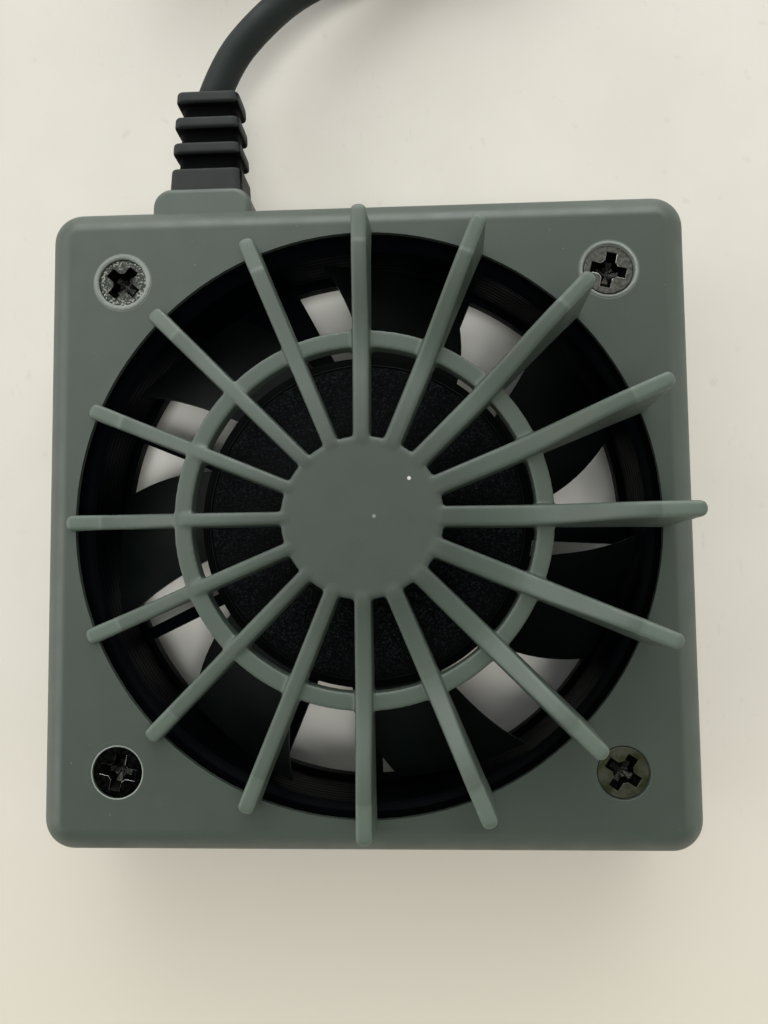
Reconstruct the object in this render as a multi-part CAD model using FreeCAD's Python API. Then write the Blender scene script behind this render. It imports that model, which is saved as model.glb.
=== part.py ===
import FreeCAD, Part
import math
import os

Vec = FreeCAD.Vector
UP = Vec(0, 0, 1)

# ---- driving dimensions, millimetres -------------------------------------------------
FAN_W = 60.0              # standard axial fan: side of the square frame
FAN_T = 10.0              # its thickness
SCREW_PITCH = 50.0        # its hole-to-hole distance
WALL = 2.5                # case wall
FAN_GAP = 0.5             # between the fan frame and the case wall, each side
FACE_T = 2.0              # front face of the case
REAR_T = 3.0              # rear cover
FOOT_H = 2.0
FOOT_R = 4.0

CASE_W = FAN_W + 2 * (WALL + FAN_GAP)
CASE_CORNER_R = 3.2
CASE_EDGE_R = 2.2
REAR_EDGE_R = 1.0
Z_CASE = FOOT_H
Z_FAN = Z_CASE + REAR_T
Z_FAN_TOP = Z_FAN + FAN_T
Z_FACE = Z_FAN_TOP + FACE_T
INLET_R = 29.6
INLET_LIP_T = 0.6         # the face thins to this at the inlet
INLET_UNDER_R = 31.2
OUTLET_R = 29.6

# front guard: 16 straight fins whose tops rise from -X to +X
FIN_COUNT = 16
FIN_END_R = 30.2
FIN_RIDGE_R = 26.6
FIN_S_R = 14.5            # where the rise to the ridge starts
FIN_MEAN_RISE = 5.1       # height of the sloping plane of tops over the face, on the axis
FIN_SLOPE = 5.2 / 30.2    # rise of that plane per millimetre along +X
FIN_LEAST_RISE = 0.7
FIN_ROOT_T = 1.92         # fin thickness at the face, and how it changes along X
FIN_ROOT_T_SWING = 0.35
FIN_DRAFT = 0.085         # thickness lost per millimetre of height
DISC_R = 7.9
DISC_TOP = 4.0            # heights over the face
DISC_LOW = 1.6
RING_R = 17.7             # middle of the guard ring
RING_W = 1.7
RING_TOP = 2.8
RING_LOW = 0.8

# cover screws, M3 countersunk, and their nuts
SCREW_R = 1.45
SCREW_HEAD_R = 2.5
SCREW_SINK = 0.25         # head top below the face
SCREW_TIP_Z = Z_CASE + 0.1
SCREW_TURNS = {(-1, 1): 50, (1, 1): 77, (1, -1): 56, (-1, -1): 78}
SINK_R = 2.6
SINK_RIM_R = 2.95         # chamfer of the countersink at the face
NUT_AF = 5.5
NUT_T = 2.2
HOLE_R = 1.7

# axial fan
BORE_R = 28.6
BORE_LIP_R = 28.0
FRAME_TUBE_R = 29.9
FLANGE_T = 3.0
FLANGE_CORNER_R = 4.0
FRAME_HOLE_R = 2.15
BASE_R = 16.4
STRUT_T = 1.4
# angle and width of each plain strut
STRUTS = ((-3.2, 2.0), (67.5, 2.0), (157.5, 2.0), (-154.3, 1.3), (-112.5, 2.0), (-90, 2.0))
LEAD_STRUT_W = 10.6
LEAD_STRUT_ANGLE = 118.0
LEAD_GROOVE_W = 2.4
TUBE_OUT_R = 3.5
TUBE_IN_R = 2.6
TUBE_H = 6.8

HUB_R = 17.2
HUB_TOP_Z = Z_FAN_TOP - 0.8
HUB_STEP_R = 16.2
HUB_STEP = 0.12
CUP_R = 15.7              # inside of the plastic hub, outside of the steel cup
CUP_TOP_Z = Z_FAN + 7.9
BLADE_COUNT = 7
BLADE_ANGLE = -69.9
BLADE_TIP_R = 27.95
BLADE_LOW_Z = Z_FAN + 1.9
BLADE_TOP_Z = Z_FAN + 8.4
BLADE_T = 1.1
SHAFT_R = 1.0
RUNNING_GAP = 0.02

# cord, its route and its coil
CORD_R = 1.75
BOSS_X = -17.2
BOSS_W = 10.6
BOSS_OUT = 2.8
BOSS_Z0 = Z_FAN + 1.2
BOSS_Z1 = Z_FACE - 1.6
EXIT_Z = 11.0
RELIEF_LEN = 11.8
RIB_T = 1.2
RIB_PITCH = 2.95
BASE_RIB_T = 2.9
RELIEF_END_Y = CASE_W / 2 + BOSS_OUT + RELIEF_LEN
COIL_X, COIL_Y = 5.2, 98.6
COIL_IN_R = 13.2
COIL_OUT_R = 27.6
COIL_LAYER = 3.55
ROUTE = [(BOSS_X, RELIEF_END_Y, EXIT_Z), (-15.6, 52.3, 10.8), (-12.3, 57.0, 10.1), (-8.0, 62.3, 8.4),
         (-2.1, 66.7, 6.1), (5.0, 69.9, 3.6), (12.3, 71.9, CORD_R)]
# the tail is measured from the middle of the coil
TAIL = [(4.8, 27.2, 5.3), (-1.6, 27.4, 6.3), (-7.7, 25.5, 7.9), (-12.9, 21.7, 9.4),
        (-16.6, 16.5, 10.6), (-18.6, 10.4, 11.1)]
PLUG_TURN = 252.0
PLUG_BODY = (21.0, 15.4, 8.0)
PLUG_SHELL = (12.0, 12.0, 4.5)
SHELL_T = 0.3
TIE_W = 5.0
TIE_T = 0.8
TIE_ANGLE = 15.0

# the row's origin is under the middle of the case and its cable boss together
ORIGIN = Vec(0, BOSS_OUT / 2, 0)


# ---- helpers ---------------------------------------------------------------------------
def disc(radius, z0, z1, x=0.0, y=0.0):
    return Part.makeCylinder(radius, z1 - z0, Vec(x, y, z0))


def pipe(outer, inner, z0, z1, x=0.0, y=0.0):
    return disc(outer, z0, z1, x, y).cut(disc(inner, z0 - 1, z1 + 1, x, y))


def block(x0, x1, y0, y1, z0, z1):
    return Part.makeBox(x1 - x0, y1 - y0, z1 - z0, Vec(x0, y0, z0))


def turned(shape, degrees):
    copy = shape.copy()
    copy.rotate(Vec(0, 0, 0), UP, degrees)
    return copy


def moved(shape, x, y, z):
    copy = shape.copy()
    copy.translate(Vec(x, y, z))
    return copy


def upright_edges(shape, only=lambda point: True):
    found = []
    for edge in shape.Edges:
        ends = [vertex.Point for vertex in edge.Vertexes]
        if len(ends) == 2 and abs(ends[0].x - ends[1].x) + abs(ends[0].y - ends[1].y) < 1e-6:
            if only(ends[0]):
                found.append(edge)
    return found


def level_edges(shape, z):
    return [edge for edge in shape.Edges
            if abs(edge.BoundBox.ZMin - z) < 1e-6 and abs(edge.BoundBox.ZMax - z) < 1e-6]


def rounded_slab(width, corner, z0, z1):
    half = width / 2
    slab = block(-half, half, -half, half, z0, z1)
    return slab.makeFillet(corner, upright_edges(slab))


def corners():
    half = SCREW_PITCH / 2
    return [(sx * half, sy * half) for sx in (-1, 1) for sy in (-1, 1)]


def together(shapes):
    return shapes[0].fuse(shapes[1:]).removeSplitter()


def rod(points, radius):
    pieces = []
    for start, end in zip(points, points[1:]):
        run = end - start
        pieces.append(Part.makeCylinder(radius, run.Length, start, run))
    for point in points[1:-1]:
        pieces.append(Part.makeSphere(radius, point))
    return together(pieces)


def rounded_path(points, name):
    """Straight runs joined by tangent arcs, each as large as its two runs allow."""
    points = [Vec(*point) for point in points]
    edges = []
    start = points[0]
    for before, corner, after in zip(points, points[1:], points[2:]):
        into = corner - before
        out = after - corner
        shorter = min(into.Length, out.Length)
        half_turn = into.getAngle(out) / 2
        back = 0.45 * shorter
        into.normalize()
        out.normalize()
        first = corner - into * back
        last = corner + out * back
        radius = back / math.tan(half_turn)
        print(name, "arc radius", round(radius, 1))
        middle_way = out - into
        middle_way.normalize()
        middle = corner + middle_way * (radius / math.cos(half_turn) - radius)
        edges.append(Part.LineSegment(start, first).toShape())
        edges.append(Part.Arc(first, middle, last).toShape())
        start = last
    edges.append(Part.LineSegment(start, points[-1]).toShape())
    return Part.Wire(edges)


def cord_tube(points, name):
    path = rounded_path(points, name)
    heading = path.Edges[0].tangentAt(path.Edges[0].FirstParameter)
    section = Part.Wire([Part.Circle(path.Edges[0].firstVertex().Point, heading, CORD_R).toShape()])
    tube = path.makePipeShell([section], True, True)
    wanted = math.pi * CORD_R ** 2 * path.Length
    print(name, "length", round(path.Length, 1), "volume over section x length", round(tube.Volume / wanted, 4))
    return tube


# ---- case ------------------------------------------------------------------------------
def cable_boss():
    half = BOSS_W / 2
    wall_y = CASE_W / 2
    front_y = wall_y + BOSS_OUT
    boss = block(BOSS_X - half, BOSS_X + half, wall_y - 1, front_y, BOSS_Z0, BOSS_Z1)
    outer = upright_edges(boss, lambda point: point.y > wall_y)
    boss = boss.makeFillet(2.0, outer)
    rim = [edge for edge in level_edges(boss, BOSS_Z1) if edge.BoundBox.YMax > wall_y]
    return boss.makeFillet(0.7, rim)


def front_cover():
    cover = rounded_slab(CASE_W, CASE_CORNER_R, Z_FAN, Z_FACE)
    cover = cover.makeFillet(CASE_EDGE_R, level_edges(cover, Z_FACE))
    cover = cover.fuse(cable_boss()).removeSplitter()
    cover = cover.cut(rounded_slab(CASE_W - 2 * WALL, CASE_CORNER_R - WALL, Z_FAN - 1, Z_FAN_TOP))
    cover = cover.cut(disc(INLET_R, Z_FAN, Z_FACE + 1))
    cover = cover.cut(disc(INLET_UNDER_R, Z_FAN, Z_FACE - INLET_LIP_T))
    sink_z = Z_FACE - SCREW_SINK
    cone_h = SINK_R - HOLE_R
    for x, y in corners():
        cover = cover.cut(disc(HOLE_R, Z_FAN, Z_FACE + 1, x, y))
        cover = cover.cut(Part.makeCone(HOLE_R, SINK_R, cone_h, Vec(x, y, sink_z - cone_h)))
        cover = cover.cut(disc(SINK_R, sink_z, Z_FACE + 1, x, y))
        cover = cover.cut(Part.makeCone(SINK_R, SINK_RIM_R, SCREW_SINK, Vec(x, y, sink_z)))
    for part in (relief_flange(), relief_neck()):
        cover = cover.cut(part)
    return cover


def rear_cover():
    cover = rounded_slab(CASE_W, CASE_CORNER_R, Z_CASE, Z_FAN)
    cover = cover.makeFillet(REAR_EDGE_R, level_edges(cover, Z_CASE))
    cover = cover.cut(disc(OUTLET_R, Z_CASE - 1, Z_FAN + 1))
    for x, y in corners():
        cover = cover.cut(disc(HOLE_R, Z_CASE - 1, Z_FAN + 1, x, y))
        cover = cover.cut(hexagon(NUT_AF + 0.1, Z_CASE - 1, Z_CASE + NUT_T, x, y))
    return cover


def rubber_feet():
    feet = []
    for x, y in corners():
        foot = disc(FOOT_R, 0, FOOT_H, x, y)
        feet.append(foot.makeFillet(0.5, level_edges(foot, 0)))
    return Part.makeCompound(feet)


def hexagon(across_flats, z0, z1, x, y):
    radius = across_flats / math.sqrt(3)
    points = [Vec(x + radius * math.cos(math.radians(60 * k)), y + radius * math.sin(math.radians(60 * k)), z0)
              for k in range(6)]
    outline = Part.makePolygon(points + points[:1])
    return Part.Face(outline).extrude(Vec(0, 0, z1 - z0))


def cover_nuts():
    return Part.makeCompound([hexagon(NUT_AF, Z_CASE, Z_CASE + NUT_T, x, y).cut(
        disc(SCREW_R, Z_CASE - 1, Z_FAN, x, y)) for x, y in corners()])


def cover_screw(turn):
    top = Z_FACE - SCREW_SINK
    cone_h = SCREW_HEAD_R - SCREW_R
    rim_h = 0.05
    cone_low = top - rim_h - cone_h
    screw = Part.makeCylinder(SCREW_R, cone_low - SCREW_TIP_Z, Vec(0, 0, SCREW_TIP_Z))
    head = Part.makeCone(SCREW_R, SCREW_HEAD_R, cone_h, Vec(0, 0, cone_low))
    screw = together([screw, head, disc(SCREW_HEAD_R, top - rim_h, top)])
    slot_l, slot_w, slot_deep = 3.2, 0.8, 1.1
    for degrees in (turn, turn + 90):
        slot = block(-slot_l / 2, slot_l / 2, -slot_w / 2, slot_w / 2, top - slot_deep, top + 1)
        screw = screw.cut(turned(slot, degrees))
    return screw


def cover_screws():
    half = SCREW_PITCH / 2
    return Part.makeCompound([moved(cover_screw(turn), sx * half, sy * half, 0)
                              for (sx, sy), turn in SCREW_TURNS.items()])


# ---- front guard -----------------------------------------------------------------------
def guard_disc():
    plate = disc(DISC_R, Z_FACE + DISC_LOW, Z_FACE + DISC_TOP)
    return plate.makeFillet(0.4, level_edges(plate, Z_FACE + DISC_TOP))


def fin_rise(radius, angle):
    along_x = radius * math.cos(angle)
    return max(FIN_LEAST_RISE, FIN_MEAN_RISE + FIN_SLOPE * along_x)


def fin(degrees):
    """One fin in the XZ plane, drafted on both sides, then turned to its place."""
    angle = math.radians(degrees)
    ridge = fin_rise(FIN_RIDGE_R, angle)
    tip = fin_rise(FIN_END_R, angle)
    start_top = DISC_TOP - (DISC_TOP - RING_TOP) * (FIN_S_R - DISC_R) / (RING_R - DISC_R) * 0.6

    def at(radius, rise):
        return Vec(radius, 0, Z_FACE + rise)

    hold = (FIN_RIDGE_R - FIN_S_R) * 0.42
    crest_drop = 0.15 * max(0.0, ridge - start_top)
    curve = Part.BezierCurve()
    curve.setPoles([at(FIN_S_R, start_top), at(FIN_S_R + hold, start_top - 0.4),
                    at(FIN_RIDGE_R - hold, ridge - crest_drop), at(FIN_RIDGE_R, ridge)])
    inner = DISC_R - 1
    round_over = 0.5
    outline = [
        Part.LineSegment(at(inner, DISC_LOW), at(RING_R, RING_LOW)).toShape(),
        Part.LineSegment(at(RING_R, RING_LOW), at(INLET_R - 0.4, 0)).toShape(),
        Part.LineSegment(at(INLET_R - 0.4, 0), at(FIN_END_R, 0)).toShape(),
        Part.LineSegment(at(FIN_END_R, 0), at(FIN_END_R, tip - round_over)).toShape(),
        Part.LineSegment(at(FIN_END_R, tip - round_over), at(FIN_END_R - round_over, tip)).toShape(),
        Part.LineSegment(at(FIN_END_R - round_over, tip), at(FIN_RIDGE_R, ridge)).toShape(),
        curve.toShape(),
        Part.LineSegment(at(FIN_S_R, start_top), at(inner, DISC_TOP)).toShape(),
        Part.LineSegment(at(inner, DISC_TOP), at(inner, DISC_LOW)).toShape(),
    ]
    root_t = FIN_ROOT_T + FIN_ROOT_T_SWING * math.cos(angle)
    wide = Part.Face(Part.Wire(Part.__sortEdges__(outline))).extrude(Vec(0, 2 * root_t, 0))
    wide.translate(Vec(0, -root_t, 0))
    tall = 14.0

    def edge_at(side, height):
        return Vec(0, side * (root_t - FIN_DRAFT * height) / 2, Z_FACE + height)

    wedge = Part.makePolygon([edge_at(-1, 0), edge_at(1, 0), edge_at(1, tall), edge_at(-1, tall), edge_at(-1, 0)])
    wedge = Part.Face(wedge).extrude(Vec(FIN_END_R + 1, 0, 0))
    blade = wide.common(wedge).cut(disc(DISC_R, Z_FACE - 1, Z_FACE + tall))
    return turned(blade, degrees)


def guard_fins():
    step = 360.0 / FIN_COUNT
    return [fin(step * k) for k in range(FIN_COUNT)]


def guard_ring(fins):
    ring = pipe(RING_R + RING_W / 2, RING_R - RING_W / 2, Z_FACE + RING_LOW, Z_FACE + RING_TOP)
    return ring.cut(Part.makeCompound(fins))


# ---- axial fan -------------------------------------------------------------------------
def lead_channel():
    """The groove under the wide strut, its notch in the frame and its hole in the motor base."""
    half = LEAD_GROOVE_W / 2
    groove = block(10.2, FAN_W / 2 + 4, -half, half, Z_FAN - 1, Z_FAN + 1.0)
    notch = block(FRAME_TUBE_R, FAN_W / 2 + 4, -half, half, Z_FAN - 1, Z_FAN + FLANGE_T + 1)
    hole = block(10.2, 12.2, -half, half, Z_FAN - 1, Z_FAN + STRUT_T + 1)
    return turned(together([groove, notch, hole]), LEAD_STRUT_ANGLE)


def fan_frame():
    flanges = []
    for z in (Z_FAN, Z_FAN_TOP - FLANGE_T):
        flange = rounded_slab(FAN_W, FLANGE_CORNER_R, z, z + FLANGE_T)
        for x, y in corners():
            flange = flange.cut(disc(FRAME_HOLE_R, Z_FAN - 1, Z_FAN_TOP + 1, x, y))
        flanges.append(flange)
    outside = block(-FAN_W / 2, FAN_W / 2, -FAN_W / 2, FAN_W / 2, Z_FAN, Z_FAN_TOP)
    frame = together(flanges + [disc(FRAME_TUBE_R, Z_FAN, Z_FAN_TOP).common(outside)])
    frame = frame.cut(disc(BORE_R, Z_FAN + STRUT_T, Z_FAN_TOP + 1))
    frame = frame.cut(disc(BORE_LIP_R, Z_FAN - 1, Z_FAN_TOP + 1))
    mouth = Part.makeCone(BORE_R, BORE_R + 0.7, 0.7, Vec(0, 0, Z_FAN_TOP - 0.7))
    frame = frame.cut(mouth)
    base = disc(BASE_R, Z_FAN, Z_FAN + STRUT_T)
    reach = BORE_LIP_R + 0.3
    struts = [turned(block(BASE_R - 1, reach, -width / 2, width / 2, Z_FAN, Z_FAN + STRUT_T), degrees)
              for degrees, width in STRUTS + ((LEAD_STRUT_ANGLE, LEAD_STRUT_W),)]
    frame = together([frame, base, disc(TUBE_OUT_R, Z_FAN, Z_FAN + TUBE_H)] + struts)
    frame = frame.cut(disc(TUBE_IN_R, Z_FAN + 0.7, Z_FAN_TOP))
    return frame.cut(lead_channel())


def blade_section(radius, trailing, leading):
    """A cambered section at one radius: thin, and slanted from the rear edge to the front edge."""
    spread = math.radians((leading - trailing) / 2)
    half = radius * math.sin(spread)
    depth = radius * math.cos(spread) if radius > HUB_R else radius
    mid_z = (BLADE_LOW_Z + BLADE_TOP_Z) / 2 - 0.7

    def at(across, z):
        return Vec(depth, across, z)

    low = at(-half, BLADE_LOW_Z)
    high = at(half, BLADE_TOP_Z - BLADE_T * 0.6)
    low_top = at(-half, BLADE_LOW_Z + BLADE_T * 0.6)
    high_top = at(half, BLADE_TOP_Z)
    edges = [Part.Arc(low, at(0, mid_z - BLADE_T / 2), high).toShape(),
             Part.LineSegment(high, high_top).toShape(),
             Part.Arc(high_top, at(0, mid_z + BLADE_T / 2), low_top).toShape(),
             Part.LineSegment(low_top, low).toShape()]
    return turned(Part.Wire(edges), (leading + trailing) / 2)


def blade():
    """Rear and front edges sweep forward towards the tip, so the sections turn as they go out."""
    stations = ((15.9, -29.0, 5.5), (21.5, -23.5, 9.0), (25.5, -18.0, 12.3), (29.5, -11.5, 16.8))
    sections = [blade_section(radius, trailing, leading) for radius, trailing, leading in stations]
    solid = Part.makeLoft(sections, True, False)
    return solid.common(pipe(BLADE_TIP_R, HUB_R - 0.4, Z_FAN, Z_FAN_TOP))


def impeller():
    hub = disc(HUB_STEP_R, BLADE_LOW_Z, HUB_TOP_Z).fuse(disc(HUB_R, BLADE_LOW_Z, HUB_TOP_Z - HUB_STEP))
    hub = hub.cut(disc(CUP_R, BLADE_LOW_Z - 1, CUP_TOP_Z))
    hub = hub.fuse(disc(2.3, CUP_TOP_Z - 0.7, CUP_TOP_Z)).removeSplitter()
    one = blade()
    blades = [turned(one, BLADE_ANGLE + 360.0 / BLADE_COUNT * k) for k in range(BLADE_COUNT)]
    wheel = hub.fuse(blades)
    return wheel.cut(disc(SHAFT_R, CUP_TOP_Z - 2, HUB_TOP_Z - 0.6))


def rotor_cup():
    cup = pipe(CUP_R, CUP_R - 0.7, BLADE_LOW_Z + 0.1, CUP_TOP_Z)
    return cup.fuse(pipe(CUP_R, 2.3, CUP_TOP_Z - 0.7, CUP_TOP_Z)).removeSplitter()


def magnet_ring():
    return pipe(CUP_R - 0.7, 13.2, BLADE_LOW_Z + 0.5, CUP_TOP_Z - 0.9)


def shaft():
    top = HUB_TOP_Z - 0.6
    bottom = Z_FAN + 1.2
    groove = pipe(SHAFT_R + 1, SHAFT_R - 0.2, bottom + 0.3, bottom + 0.6)
    return disc(SHAFT_R, bottom, top).cut(groove)


def retaining_ring():
    z = Z_FAN + 1.5
    ring = pipe(1.9, SHAFT_R - 0.2, z + 0.02, z + 0.28)
    return ring.cut(block(0, 3, -0.4, 0.4, z - 1, z + 1))


def sleeve_bearing():
    return pipe(TUBE_IN_R, SHAFT_R + RUNNING_GAP, Z_FAN + 2.0, Z_FAN + 6.5)


def oil_washer():
    return pipe(TUBE_IN_R - 0.1, SHAFT_R + 0.2, Z_FAN + 6.5, Z_FAN + 6.8)


def thrust_pad():
    return disc(1.6, Z_FAN + 0.7, Z_FAN + 1.1)


def stator_arm(half_width, r0, r1, z0, z1):
    return [turned(block(r0, r1, -half_width, half_width, z0, z1), 90 * k + 45) for k in range(4)]


CORE_Z0, CORE_Z1 = Z_FAN + 4.2, Z_FAN + 6.0
ARM_HALF = 1.3
ARM_END_R = 11.2
BOBBIN_T = 0.4


def stator_core():
    yoke = pipe(5.5, TUBE_OUT_R, CORE_Z0, CORE_Z1)
    shoes = pipe(12.8, ARM_END_R, CORE_Z0, CORE_Z1)
    slot_half = 1.4
    for k in range(4):
        shoes = shoes.cut(turned(block(9, 14, -slot_half, slot_half, CORE_Z0 - 1, CORE_Z1 + 1), 90 * k))
    return together([yoke, shoes] + stator_arm(ARM_HALF, 5.0, ARM_END_R + 0.5, CORE_Z0, CORE_Z1))


def stator_bobbin():
    z0, z1 = CORE_Z0 - BOBBIN_T, CORE_Z1 + BOBBIN_T
    sleeves = stator_arm(ARM_HALF + BOBBIN_T, 4.4, 11.0, z0, z1)
    body = together([pipe(5.9, TUBE_OUT_R, z0, z1)] + sleeves)
    body = body.cut(pipe(5.5, 1.0, CORE_Z0, CORE_Z1))
    body = body.cut(disc(TUBE_OUT_R, z0 - 1, z1 + 1))
    return body.cut(Part.makeCompound(stator_arm(ARM_HALF, 3.0, 12.0, CORE_Z0, CORE_Z1)))


def stator_coils():
    z0, z1 = CORE_Z0 - BOBBIN_T, CORE_Z1 + BOBBIN_T
    inner = ARM_HALF + BOBBIN_T
    windings = []
    for full, core in zip(stator_arm(inner + 0.9, 6.3, 10.7, z0 - 0.5, z1 + 0.5),
                          stator_arm(inner, 5.0, 12.0, z0, z1)):
        windings.append(full.cut(core))
    return Part.makeCompound(windings)


def circuit_board():
    board = pipe(13.2, TUBE_OUT_R, Z_FAN + STRUT_T, Z_FAN + STRUT_T + 0.8)
    return board.cut(turned(block(10.2, 12.2, -1.2, 1.2, Z_FAN, Z_FAN + 4), LEAD_STRUT_ANGLE))


def driver_chip():
    z = Z_FAN + STRUT_T + 0.8
    return block(7.2, 10.4, -2.0, 2.0, z, z + 0.8)


def lead_wires():
    z_run = Z_FAN + 0.5
    wires = []
    for side in (-0.55, 0.55):
        def strut(radius, z):
            point = Vec(radius, side, z)
            return FreeCAD.Rotation(UP, LEAD_STRUT_ANGLE).multVec(point)
        flange_y = FAN_W / 2 + FAN_GAP
        points = [Vec(BOSS_X - side, flange_y, EXIT_Z - 0.9), Vec(BOSS_X - side, flange_y - 1.9, EXIT_Z - 0.9),
                  strut(31.0, EXIT_Z - 0.9 - side), strut(31.0, z_run), strut(11.2, z_run),
                  strut(11.2, Z_FAN + STRUT_T + 0.6)]
        wires.append(rod(points, 0.45))
    return Part.makeCompound(wires)


def motor_label():
    return disc(BASE_R - 1.6, Z_FAN - 0.12, Z_FAN)


# ---- cable end -------------------------------------------------------------------------
def relief_block(y0, y1, half_w0, half_w1, half_h0, half_h1):
    def frame_at(y, half_w, half_h):
        radius = 0.9
        slab = block(BOSS_X - half_w, BOSS_X + half_w, y - 0.5, y + 0.5, EXIT_Z - half_h, EXIT_Z + half_h)
        along = [edge for edge in slab.Edges if abs(edge.BoundBox.YLength - 1.0) < 1e-3]
        slab = slab.makeFillet(radius, along)
        return slab.slice(Vec(0, 1, 0), y)[0]
    return Part.makeLoft([frame_at(y0, half_w0, half_h0), frame_at(y1, half_w1, half_h1)], True, True)


def relief_flange():
    y0 = FAN_W / 2 + FAN_GAP
    return relief_block(y0, y0 + 1.8, 4.2, 4.2, 3.1, 3.1)


def relief_neck():
    y0 = FAN_W / 2 + FAN_GAP + 1.8
    return relief_block(y0, CASE_W / 2 + BOSS_OUT, 2.9, 2.9, 2.2, 2.2)


def relief_half_width(y):
    share = (y - CASE_W / 2 - BOSS_OUT) / RELIEF_LEN
    return 4.05 - 0.6 * share


def relief_half_height(y):
    share = (y - CASE_W / 2 - BOSS_OUT) / RELIEF_LEN
    return 2.9 - 0.4 * share


def strain_relief():
    y0 = CASE_W / 2 + BOSS_OUT
    side_inset = 0.45
    top_inset = 1.2
    pieces = [relief_flange(), relief_neck(),
              relief_block(y0, RELIEF_END_Y - 0.1, relief_half_width(y0) - side_inset,
                           relief_half_width(RELIEF_END_Y) - side_inset,
                           relief_half_height(y0) - top_inset, relief_half_height(RELIEF_END_Y) - top_inset)]
    ribs = [(y0, BASE_RIB_T)] + [(RELIEF_END_Y - RIB_T - RIB_PITCH * k, RIB_T) for k in range(3)]
    for rib_y, length in ribs:
        pieces.append(relief_block(rib_y, rib_y + length, relief_half_width(rib_y),
                                   relief_half_width(rib_y + length), relief_half_height(rib_y),
                                   relief_half_height(rib_y + length)))
    end_face = block(BOSS_X - 4, BOSS_X + 4, RELIEF_END_Y, RELIEF_END_Y + 2, EXIT_Z - 4, EXIT_Z + 4)
    return together(pieces).cut(end_face)


# ---- cord, coil and plug ---------------------------------------------------------------
def cord_coil():
    height = 2 * CORD_R + COIL_LAYER
    ring = pipe(COIL_OUT_R + CORD_R, COIL_IN_R - CORD_R, 0, height, COIL_X, COIL_Y)
    rims = level_edges(ring, height) + level_edges(ring, 0)
    return ring.makeFillet(1.2, rims).cut(coil_tie_space())


def tie_block(grow, z0, z1):
    inner, outer = COIL_IN_R - CORD_R, COIL_OUT_R + CORD_R
    strap = block(inner - grow, outer + grow, -TIE_W / 2, TIE_W / 2, z0, z1)
    return moved(turned(strap, TIE_ANGLE), COIL_X, COIL_Y, 0)


def coil_tie_space():
    """What the tie takes from the underside of the coil, so that both lie on the same surface."""
    return tie_block(2.0, -1.0, TIE_T)


def coil_tie():
    top = 2 * CORD_R + COIL_LAYER
    return tie_block(TIE_T + 0.1, 0, top + TIE_T).cut(tie_block(0.1, TIE_T, top))


def cord_route():
    return cord_tube(ROUTE, "cord").cut(cord_coil())


def cord_tail():
    points = [(COIL_X + x, COIL_Y + y, z) for x, y, z in TAIL]
    outside = cord_tube(points, "tail").cut(cord_coil())
    return max(outside.Solids, key=lambda solid: solid.Volume)


def plug_place(shape):
    x, y, z = TAIL[-1]
    return moved(turned(shape, PLUG_TURN), COIL_X + x, COIL_Y + y, z)


def plug_body():
    length, width, thick = PLUG_BODY
    body = block(0, length, -width / 2, width / 2, -thick / 2, thick / 2)
    body = body.makeFillet(1.6, [edge for edge in body.Edges if abs(edge.BoundBox.XLength - length) < 1e-3])
    back = [edge for edge in body.Edges if edge.BoundBox.XMax < 1e-3]
    return plug_place(body.makeFillet(1.0, back))


def plug_shell():
    start = PLUG_BODY[0]
    length, width, thick = PLUG_SHELL
    half_w, half_t = width / 2, thick / 2
    shell = block(start, start + length, -half_w, half_w, -half_t, half_t)
    inside = block(start, start + length + 1, SHELL_T - half_w, half_w - SHELL_T, SHELL_T - half_t, half_t - SHELL_T)
    shell = shell.cut(inside)
    for side in (-1, 1):
        window = block(start + 5.2, start + 7.4, side * 2.9 - 1.15, side * 2.9 + 1.15, 0, half_t + 1)
        shell = shell.cut(window)
    return plug_place(shell)


def plug_tongue():
    start = PLUG_BODY[0]
    half_w = PLUG_SHELL[1] / 2 - SHELL_T
    low = SHELL_T - PLUG_SHELL[2] / 2
    return plug_place(block(start, start + PLUG_SHELL[0] - 0.6, -half_w, half_w, low, low + 1.8))


def plug_contacts():
    start = PLUG_BODY[0]
    low = SHELL_T - PLUG_SHELL[2] / 2 + 1.8
    strips = [block(start + 1.5, start + 10.0, y - 0.5, y + 0.5, low, low + 0.15) for y in (-3.5, -1.0, 1.0, 3.5)]
    return plug_place(Part.makeCompound(strips))


# ---- write the parts -------------------------------------------------------------------
def save(name, shape):
    placed = moved(shape, -ORIGIN.x, -ORIGIN.y, -ORIGIN.z)
    if not placed.isValid():
        print(name, "IS NOT VALID")
    print(name, "solids", len(placed.Solids), "volume", round(placed.Volume, 1))
    placed.exportStep("parts/" + name + ".step")


def main():
    os.makedirs("parts", exist_ok=True)
    fins = guard_fins()
    save("guard_fins", Part.makeCompound(fins))
    save("guard_ring", guard_ring(fins))
    for build in (front_cover, rear_cover, rubber_feet, cover_nuts, cover_screws, guard_disc,
                  fan_frame, impeller, rotor_cup, magnet_ring, shaft, retaining_ring, sleeve_bearing,
                  oil_washer, thrust_pad, stator_core, stator_bobbin, stator_coils, circuit_board,
                  driver_chip, lead_wires, motor_label, strain_relief, cord_coil, coil_tie, cord_tail,
                  plug_body, plug_shell, plug_tongue, plug_contacts):
        save(build.__name__, build())
    save("cord", cord_route())


main()
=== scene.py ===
import bpy
import bmesh
import math
import random
import numpy as np
from mathutils import Matrix, Vector


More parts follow.
